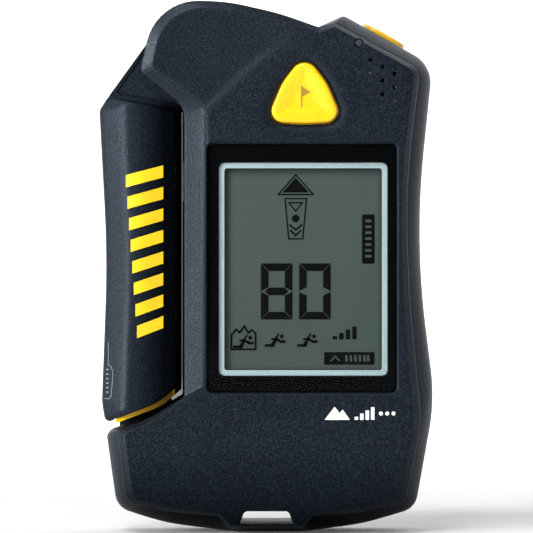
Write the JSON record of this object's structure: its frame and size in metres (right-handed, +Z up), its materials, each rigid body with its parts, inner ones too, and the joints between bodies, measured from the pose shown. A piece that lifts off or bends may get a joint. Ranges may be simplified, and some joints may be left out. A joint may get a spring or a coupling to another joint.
{
  "type": "avalanche transceiver",
  "caption": "Hand-held rescue beacon with a large display, a triangular marking button, a top-edge button and a swing-out side lever.",
  "frame": {"origin": "bottom centre of the upright device, on the flat foot of its housing", "axes": "+Z up along the device, +X to the right as seen from the display, +Y towards the back"},
  "size_m": [0.074, 0.029, 0.1181],
  "materials": {
    "black_plastic": "fine-grained matte, blue-black",
    "yellow_plastic": "satin, warm yellow",
    "grey_plastic": "satin, light grey",
    "window_acrylic": "polished, clear with a black border",
    "display_glass": "matte polariser, grey-green",
    "display_silver": "satin, silver",
    "white_plastic": "matte white",
    "board_laminate": "solder mask, green",
    "tin_plate": "tinned",
    "chip_epoxy": "moulded epoxy",
    "ferrite": "sintered, dark grey",
    "copper_wire": "enamelled copper winding",
    "steel": "turned, zinc plated",
    "bronze": "plain bronze",
    "rubber": "moulded silicone",
    "cell_sleeve": "printed sleeve, no marks",
    "clear_plastic": "clear"
  },
  "bodies": {
    "housing": {"battery_1": "cell_sleeve", "battery_2": "cell_sleeve", "battery_3": "cell_sleeve", "battery_spring_1": "bronze", "battery_spring_2": "bronze", "battery_spring_3": "bronze", "contact_plate_1": "bronze", "contact_plate_2": "bronze", "contact_plate_3": "bronze", "display_backlight": "white_plastic", "display_connector": "chip_epoxy", "display_frame": "display_silver", "display_panel": "display_glass", "display_window": "window_acrylic", "door_seal": "rubber", "front_housing": "black_plastic", "hinge_pin": "steel", "housing_gasket": "rubber", "housing_screw_1": "steel", "housing_screw_2": "steel", "housing_screw_3": "steel", "housing_screw_4": "steel", "housing_screw_5": "steel", "led_lens": "clear_plastic", "lever_sensor": "chip_epoxy", "main_board": "board_laminate", "main_chip": "chip_epoxy", "mark_button_seal": "rubber", "mark_switch": "chip_epoxy", "radio_shield": "tin_plate", "rear_housing": "black_plastic", "scan_switch": "chip_epoxy", "side_trim_strip": "grey_plastic", "speaker": "steel", "speaker_membrane": "rubber", "status_led": "clear_plastic", "vibration_motor": "steel", "window_seal": "rubber", "x_antenna_coil": "copper_wire", "x_antenna_core": "ferrite", "y_antenna_coil": "copper_wire", "y_antenna_core": "ferrite", "z_antenna_coil": "copper_wire", "z_antenna_core": "ferrite"},
    "lever": {"lever_shell": "black_plastic", "lever_liner": "yellow_plastic", "lever_screw_1": "steel", "lever_screw_2": "steel", "lever_magnet": "steel", "hinge_bush_front": "bronze", "hinge_bush_rear": "bronze"},
    "mark_button": {"mark_button": "yellow_plastic"},
    "scan_button": {"scan_button": "yellow_plastic"},
    "lock_button": {"lock_button": "yellow_plastic"},
    "battery_door": {"battery_door": "black_plastic"},
    "door_screw": {"door_screw": "steel"},
    "vibration_weight": {"vibration_weight": "steel"}
  },
  "joints": [
    {"name": "lever_swing", "type": "hinge", "parent": "housing", "child": "lever", "pos_m": [-0.0171, 0, 0.1047], "axis": [0, 1, 0], "range_deg": [0, 20]},
    {"name": "mark_press", "type": "slide", "parent": "housing", "child": "mark_button", "axis": [0, 1, 0], "range_m": [0, 0.0008], "stiffness_N_per_m": 1500},
    {"name": "scan_press", "type": "slide", "parent": "housing", "child": "scan_button", "axis": [-0.4845, 0, -0.8748], "range_m": [0, 0.0007], "stiffness_N_per_m": 1500},
    {"name": "lock_press", "type": "slide", "parent": "housing", "child": "lock_button", "axis": [1, 0, 0], "range_m": [0, 0.0007], "stiffness_N_per_m": 1200},
    {"name": "door_swing", "type": "hinge", "parent": "housing", "child": "battery_door", "pos_m": [0.0022, 0.0142, 0.00935], "axis": [-1, 0, 0], "range_deg": [0, 110]},
    {"name": "door_screw_turn", "type": "hinge", "parent": "battery_door", "child": "door_screw", "pos_m": [0.0022, 0.0142, 0.0692], "axis": [0, 1, 0], "range_deg": [0, 90]},
    {"name": "weight_spin", "type": "hinge", "parent": "housing", "child": "vibration_weight", "pos_m": [-0.0187, 0.0045, 0.0172], "axis": [1, 0, 0], "continuous": true}
  ]
}
